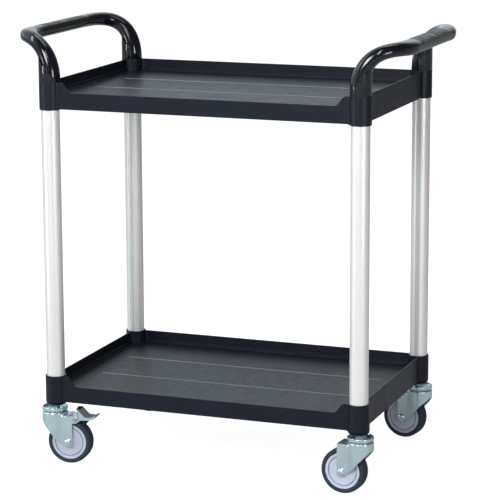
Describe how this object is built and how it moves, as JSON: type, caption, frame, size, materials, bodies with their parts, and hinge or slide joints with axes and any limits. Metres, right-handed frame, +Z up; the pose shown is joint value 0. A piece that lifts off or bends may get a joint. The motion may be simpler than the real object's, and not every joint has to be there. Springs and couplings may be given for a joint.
{
  "type": "food service trolley",
  "caption": "Two-tier food service trolley: black plastic trays with low front lips on aluminium posts, a push handle at each end and swivel casters with brakes.",
  "frame": {"origin": "on the floor, under the middle of the trolley", "axes": "+Z up, X along the trolley from handle to handle, -Y towards the low front lips of the trays"},
  "size_m": [0.8482, 0.4753, 0.9028],
  "materials": {
    "tray_plastic": "satin moulded polypropylene, fine grain",
    "handle_plastic": "polished moulding with matt textured grip pads",
    "post_aluminium": "satin natural anodised",
    "plug_plastic": "matt moulded nylon",
    "zinc_plate": "bright zinc plate on pressed steel",
    "steel": "turned steel",
    "wheel_plastic": "satin moulded nylon",
    "tyre_rubber": "smooth elastic rubber",
    "pedal_plastic": "satin moulded nylon"
  },
  "bodies": {
    "trolley_frame": {"upper_shelf": "tray_plastic", "lower_shelf": "tray_plastic", "right_handle": "handle_plastic", "left_handle": "handle_plastic", "post_front_left": "post_aluminium", "post_screw_front_left": "steel", "stem_plug_front_left": "plug_plastic", "stem_front_left": "zinc_plate", "raceway_cup_front_left": "zinc_plate", "post_front_right": "post_aluminium", "post_screw_front_right": "steel", "stem_plug_front_right": "plug_plastic", "stem_front_right": "zinc_plate", "raceway_cup_front_right": "zinc_plate", "post_rear_left": "post_aluminium", "post_screw_rear_left": "steel", "stem_plug_rear_left": "plug_plastic", "stem_rear_left": "zinc_plate", "raceway_cup_rear_left": "zinc_plate", "post_rear_right": "post_aluminium", "post_screw_rear_right": "steel", "stem_plug_rear_right": "plug_plastic", "stem_rear_right": "zinc_plate", "raceway_cup_rear_right": "zinc_plate"},
    "swivel_front_left": {"swivel_bearing_front_left": "steel", "fork_front_left": "zinc_plate", "axle_bolt_front_left": "zinc_plate", "axle_nut_front_left": "zinc_plate", "axle_sleeve_front_left": "steel", "brake_pin_front_left": "steel"},
    "wheel_front_left": {"wheel_core_front_left": "wheel_plastic", "tyre_front_left": "tyre_rubber"},
    "pedal_front_left": {"brake_lever_front_left": "zinc_plate", "brake_pedal_front_left": "pedal_plastic"},
    "swivel_front_right": {"swivel_bearing_front_right": "steel", "fork_front_right": "zinc_plate", "axle_bolt_front_right": "zinc_plate", "axle_nut_front_right": "zinc_plate", "axle_sleeve_front_right": "steel"},
    "wheel_front_right": {"wheel_core_front_right": "wheel_plastic", "tyre_front_right": "tyre_rubber"},
    "swivel_rear_left": {"swivel_bearing_rear_left": "steel", "fork_rear_left": "zinc_plate", "axle_bolt_rear_left": "zinc_plate", "axle_nut_rear_left": "zinc_plate", "axle_sleeve_rear_left": "steel", "brake_pin_rear_left": "steel"},
    "wheel_rear_left": {"wheel_core_rear_left": "wheel_plastic", "tyre_rear_left": "tyre_rubber"},
    "pedal_rear_left": {"brake_lever_rear_left": "zinc_plate", "brake_pedal_rear_left": "pedal_plastic"},
    "swivel_rear_right": {"swivel_bearing_rear_right": "steel", "fork_rear_right": "zinc_plate", "axle_bolt_rear_right": "zinc_plate", "axle_nut_rear_right": "zinc_plate", "axle_sleeve_rear_right": "steel"},
    "wheel_rear_right": {"wheel_core_rear_right": "wheel_plastic", "tyre_rear_right": "tyre_rubber"}
  },
  "joints": [
    {"name": "caster_swivel_front_left", "type": "hinge", "parent": "trolley_frame", "child": "swivel_front_left", "pos_m": [-0.335, -0.209, 0.1108], "axis": [0, 0, 1], "continuous": true},
    {"name": "wheel_spin_front_left", "type": "hinge", "parent": "swivel_front_left", "child": "wheel_front_left", "pos_m": [-0.30119, -0.20545, 0.0465], "axis": [-0.1045, 0.9945, 0], "continuous": true},
    {"name": "brake_pedal_front_left", "type": "hinge", "parent": "swivel_front_left", "child": "pedal_front_left", "pos_m": [-0.28527, -0.20377, 0.097], "axis": [-0.1045, 0.9945, 0], "range_deg": [0, 12]},
    {"name": "caster_swivel_front_right", "type": "hinge", "parent": "trolley_frame", "child": "swivel_front_right", "pos_m": [0.335, -0.209, 0.1108], "axis": [0, 0, 1], "continuous": true},
    {"name": "wheel_spin_front_right", "type": "hinge", "parent": "swivel_front_right", "child": "wheel_front_right", "pos_m": [0.30113, -0.20604, 0.0465], "axis": [-0.0872, -0.9962, 0], "continuous": true},
    {"name": "caster_swivel_rear_left", "type": "hinge", "parent": "trolley_frame", "child": "swivel_rear_left", "pos_m": [-0.335, 0.209, 0.1108], "axis": [0, 0, 1], "continuous": true},
    {"name": "wheel_spin_rear_left", "type": "hinge", "parent": "swivel_rear_left", "child": "wheel_rear_left", "pos_m": [-0.30133, 0.21373, 0.0465], "axis": [-0.1392, 0.9903, 0], "continuous": true},
    {"name": "brake_pedal_rear_left", "type": "hinge", "parent": "swivel_rear_left", "child": "pedal_rear_left", "pos_m": [-0.28549, 0.21596, 0.097], "axis": [-0.1392, 0.9903, 0], "range_deg": [0, 12]},
    {"name": "caster_swivel_rear_right", "type": "hinge", "parent": "trolley_frame", "child": "swivel_rear_right", "pos_m": [0.335, 0.209, 0.1108], "axis": [0, 0, 1], "continuous": true},
    {"name": "wheel_spin_rear_right", "type": "hinge", "parent": "swivel_rear_right", "child": "wheel_rear_right", "pos_m": [0.30142, 0.21432, 0.0465], "axis": [-0.1564, -0.9877, 0], "continuous": true}
  ]
}
